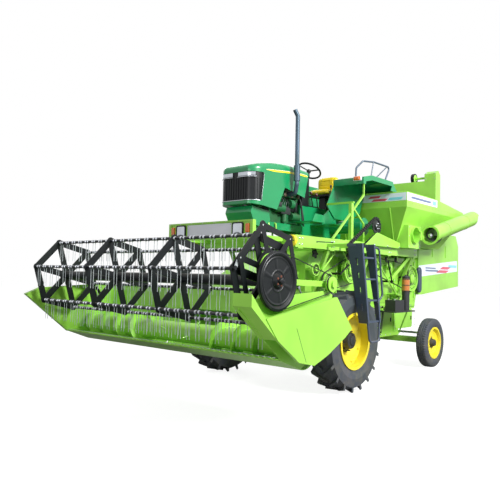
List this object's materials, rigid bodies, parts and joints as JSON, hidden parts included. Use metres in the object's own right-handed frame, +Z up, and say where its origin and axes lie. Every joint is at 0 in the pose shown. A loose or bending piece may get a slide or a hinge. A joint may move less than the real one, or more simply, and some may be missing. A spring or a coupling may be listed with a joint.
{
  "type": "combine harvester",
  "caption": "Wheeled grain harvester with a raised cutting table and tined reel, a tractor on its frame, a grain tank and a folding unloading tube.",
  "frame": {"origin": "on the ground under the middle of the machine's box", "axes": "+Z up, -Y ahead towards the cutting table, +X to the driver's left"},
  "size_m": [4, 8.3002, 3.9555],
  "materials": {
    "lime_paint": "gloss",
    "tractor_paint": "gloss",
    "yellow_paint": "gloss",
    "black_paint": "satin",
    "tyre_rubber": "matt",
    "ladder_paint": "satin",
    "bare_steel": "satin",
    "lamp_glass": "gloss",
    "seat_cover": "satin",
    "service_plastic": "matt"
  },
  "bodies": {
    "root": {"chassis_frame": "lime_paint", "front_axle": "lime_paint", "threshing_body": "lime_paint", "rear_hood": "lime_paint", "grain_tank": "lime_paint", "grain_elevator": "lime_paint", "auger_box": "lime_paint", "rear_axle": "lime_paint", "bonnet": "tractor_paint", "grille": "black_paint", "tractor_frame": "tractor_paint", "engine": "tractor_paint", "fenders": "tractor_paint", "hand_rails": "black_paint", "seat_base": "black_paint", "seat_pads": "seat_cover", "controls": "black_paint", "exhaust": "bare_steel", "platform": "lime_paint", "ladder": "ladder_paint", "lamp_board": "lime_paint", "lamps": "lamp_glass", "pulleys": "lime_paint", "belts": "tyre_rubber", "drive_chain": "black_paint", "service_units": "service_plastic"},
    "front_wheel_left": {"front_tyre_left": "tyre_rubber", "front_rim_left": "yellow_paint"},
    "steer_knuckle_left": {"knuckle_left": "lime_paint"},
    "rear_wheel_left": {"rear_tyre_left": "tyre_rubber", "rear_rim_left": "yellow_paint"},
    "front_wheel_right": {"front_tyre_right": "tyre_rubber", "front_rim_right": "yellow_paint"},
    "steer_knuckle_right": {"knuckle_right": "lime_paint"},
    "rear_wheel_right": {"rear_tyre_right": "tyre_rubber", "rear_rim_right": "yellow_paint"},
    "tie_rod": {"tie_rod": "bare_steel"},
    "handwheel": {"handwheel": "black_paint"},
    "table": {"table_trough": "lime_paint", "knife_guards": "black_paint", "feeder_house": "lime_paint", "drive_guard": "lime_paint"},
    "knife": {"knife": "bare_steel"},
    "table_auger": {"table_auger": "lime_paint"},
    "reel_arms": {"reel_arms": "black_paint"},
    "reel": {"reel_frame": "black_paint"},
    "reel_ring": {"reel_ring": "black_paint"},
    "reel_bat_1": {"reel_bat_1": "black_paint"},
    "reel_bat_2": {"reel_bat_2": "black_paint"},
    "reel_bat_3": {"reel_bat_3": "black_paint"},
    "reel_bat_4": {"reel_bat_4": "black_paint"},
    "reel_bat_5": {"reel_bat_5": "black_paint"},
    "reel_bat_6": {"reel_bat_6": "black_paint"},
    "lift_barrels": {"lift_barrels": "black_paint"},
    "lift_rods": {"lift_rods": "bare_steel"},
    "reel_barrels": {"reel_barrels": "black_paint"},
    "reel_rods": {"reel_rods": "bare_steel"},
    "unloading_tube": {"unloading_tube": "lime_paint"}
  },
  "joints": [
    {"name": "front_wheel_left_spin", "type": "hinge", "parent": "root", "child": "front_wheel_left", "pos_m": [1.127, -1.14986, 0.6825], "axis": [1, 0, 0], "continuous": true},
    {"name": "steer_left", "type": "hinge", "parent": "root", "child": "steer_knuckle_left", "pos_m": [0.915, 1.81014, 0.455], "axis": [0, 0, 1], "range_deg": [-32, 32]},
    {"name": "rear_wheel_left_spin", "type": "hinge", "parent": "steer_knuckle_left", "child": "rear_wheel_left", "pos_m": [1.08, 1.81014, 0.425], "axis": [1, 0, 0], "continuous": true},
    {"name": "front_wheel_right_spin", "type": "hinge", "parent": "root", "child": "front_wheel_right", "pos_m": [-1.127, -1.14986, 0.6825], "axis": [1, 0, 0], "continuous": true},
    {"name": "steer_right", "type": "hinge", "parent": "root", "child": "steer_knuckle_right", "pos_m": [-0.915, 1.81014, 0.455], "axis": [0, 0, 1], "range_deg": [-32, 32]},
    {"name": "rear_wheel_right_spin", "type": "hinge", "parent": "steer_knuckle_right", "child": "rear_wheel_right", "pos_m": [-1.08, 1.81014, 0.425], "axis": [1, 0, 0], "continuous": true},
    {"name": "tie_rod_slide", "type": "slide", "parent": "root", "child": "tie_rod", "axis": [1, 0, 0], "range_m": [-0.1, 0.1]},
    {"name": "handwheel_turn", "type": "hinge", "parent": "root", "child": "handwheel", "pos_m": [0, -0.44986, 3.24], "axis": [0, 0.4999, 0.8661], "range_deg": [-390, 390]},
    {"name": "table_lift", "type": "hinge", "parent": "root", "child": "table", "pos_m": [0, -1.54986, 1.5], "axis": [1, 0, 0], "range_deg": [-4, 20]},
    {"name": "knife_slide", "type": "slide", "parent": "table", "child": "knife", "axis": [1, 0, 0], "range_m": [-0.038, 0.038]},
    {"name": "auger_spin", "type": "hinge", "parent": "table", "child": "table_auger", "pos_m": [0, -3.09645, 0.81782], "axis": [1, 0, 0], "continuous": true},
    {"name": "reel_lift", "type": "hinge", "parent": "table", "child": "reel_arms", "pos_m": [0, -2.6819, 1.45975], "axis": [1, 0, 0], "range_deg": [-14, 0]},
    {"name": "reel_spin", "type": "hinge", "parent": "reel_arms", "child": "reel", "pos_m": [0, -3.63177, 1.48729], "axis": [1, 0, 0], "continuous": true},
    {"name": "reel_ring_spin", "type": "hinge", "parent": "reel_arms", "child": "reel_ring", "pos_m": [0, -3.58159, 1.58715], "axis": [1, 0, 0], "continuous": true},
    {"name": "reel_bat_1_turn", "type": "hinge", "parent": "reel", "child": "reel_bat_1", "pos_m": [0, -3.19028, 1.37721], "axis": [1, 0, 0], "continuous": true},
    {"name": "reel_bat_2_turn", "type": "hinge", "parent": "reel", "child": "reel_bat_2", "pos_m": [0, -3.3157, 1.81459], "axis": [1, 0, 0], "continuous": true},
    {"name": "reel_bat_3_turn", "type": "hinge", "parent": "reel", "child": "reel_bat_3", "pos_m": [0, -3.75718, 1.92466], "axis": [1, 0, 0], "continuous": true},
    {"name": "reel_bat_4_turn", "type": "hinge", "parent": "reel", "child": "reel_bat_4", "pos_m": [0, -4.07325, 1.59736], "axis": [1, 0, 0], "continuous": true},
    {"name": "reel_bat_5_turn", "type": "hinge", "parent": "reel", "child": "reel_bat_5", "pos_m": [0, -3.94784, 1.15999], "axis": [1, 0, 0], "continuous": true},
    {"name": "reel_bat_6_turn", "type": "hinge", "parent": "reel", "child": "reel_bat_6", "pos_m": [0, -3.50635, 1.04991], "axis": [1, 0, 0], "continuous": true},
    {"name": "lift_barrel_turn", "type": "hinge", "parent": "root", "child": "lift_barrels", "pos_m": [0, -1.31986, 0.8], "axis": [1, 0, 0], "range_deg": [-4, 19.5]},
    {"name": "lift_rod_slide", "type": "slide", "parent": "lift_barrels", "child": "lift_rods", "axis": [0, -0.9944, -0.1057], "range_m": [-0.26, 0.055]},
    {"name": "reel_barrel_turn", "type": "hinge", "parent": "table", "child": "reel_barrels", "pos_m": [0, -2.9887, 1.17235], "axis": [1, 0, 0], "range_deg": [-11.2, 0]},
    {"name": "reel_rod_slide", "type": "slide", "parent": "reel_barrels", "child": "reel_rods", "axis": [0, -0.595, 0.8037], "range_m": [0, 0.102]},
    {"name": "tube_fold", "type": "hinge", "parent": "root", "child": "unloading_tube", "pos_m": [1.203, 1.11014, 2.26], "axis": [0, 0, -1], "range_deg": [0, 90]}
  ],
  "couplings": [
    {"joint": "steer_right", "follows": "steer_left", "ratio": 1},
    {"joint": "tie_rod_slide", "follows": "steer_left", "m_per_rad": -0.165},
    {"joint": "handwheel_turn", "follows": "steer_left", "ratio": 12},
    {"joint": "reel_ring_spin", "follows": "reel_spin", "ratio": 1},
    {"joint": "reel_bat_1_turn", "follows": "reel_spin", "ratio": -1},
    {"joint": "reel_bat_2_turn", "follows": "reel_spin", "ratio": -1},
    {"joint": "reel_bat_3_turn", "follows": "reel_spin", "ratio": -1},
    {"joint": "reel_bat_4_turn", "follows": "reel_spin", "ratio": -1},
    {"joint": "reel_bat_5_turn", "follows": "reel_spin", "ratio": -1},
    {"joint": "reel_bat_6_turn", "follows": "reel_spin", "ratio": -1},
    {"joint": "lift_barrel_turn", "follows": "table_lift", "ratio": 0.95},
    {"joint": "lift_rod_slide", "follows": "table_lift", "m_per_rad": -0.73},
    {"joint": "reel_barrel_turn", "follows": "reel_lift", "ratio": 0.775},
    {"joint": "reel_rod_slide", "follows": "reel_lift", "m_per_rad": -0.413}
  ]
}
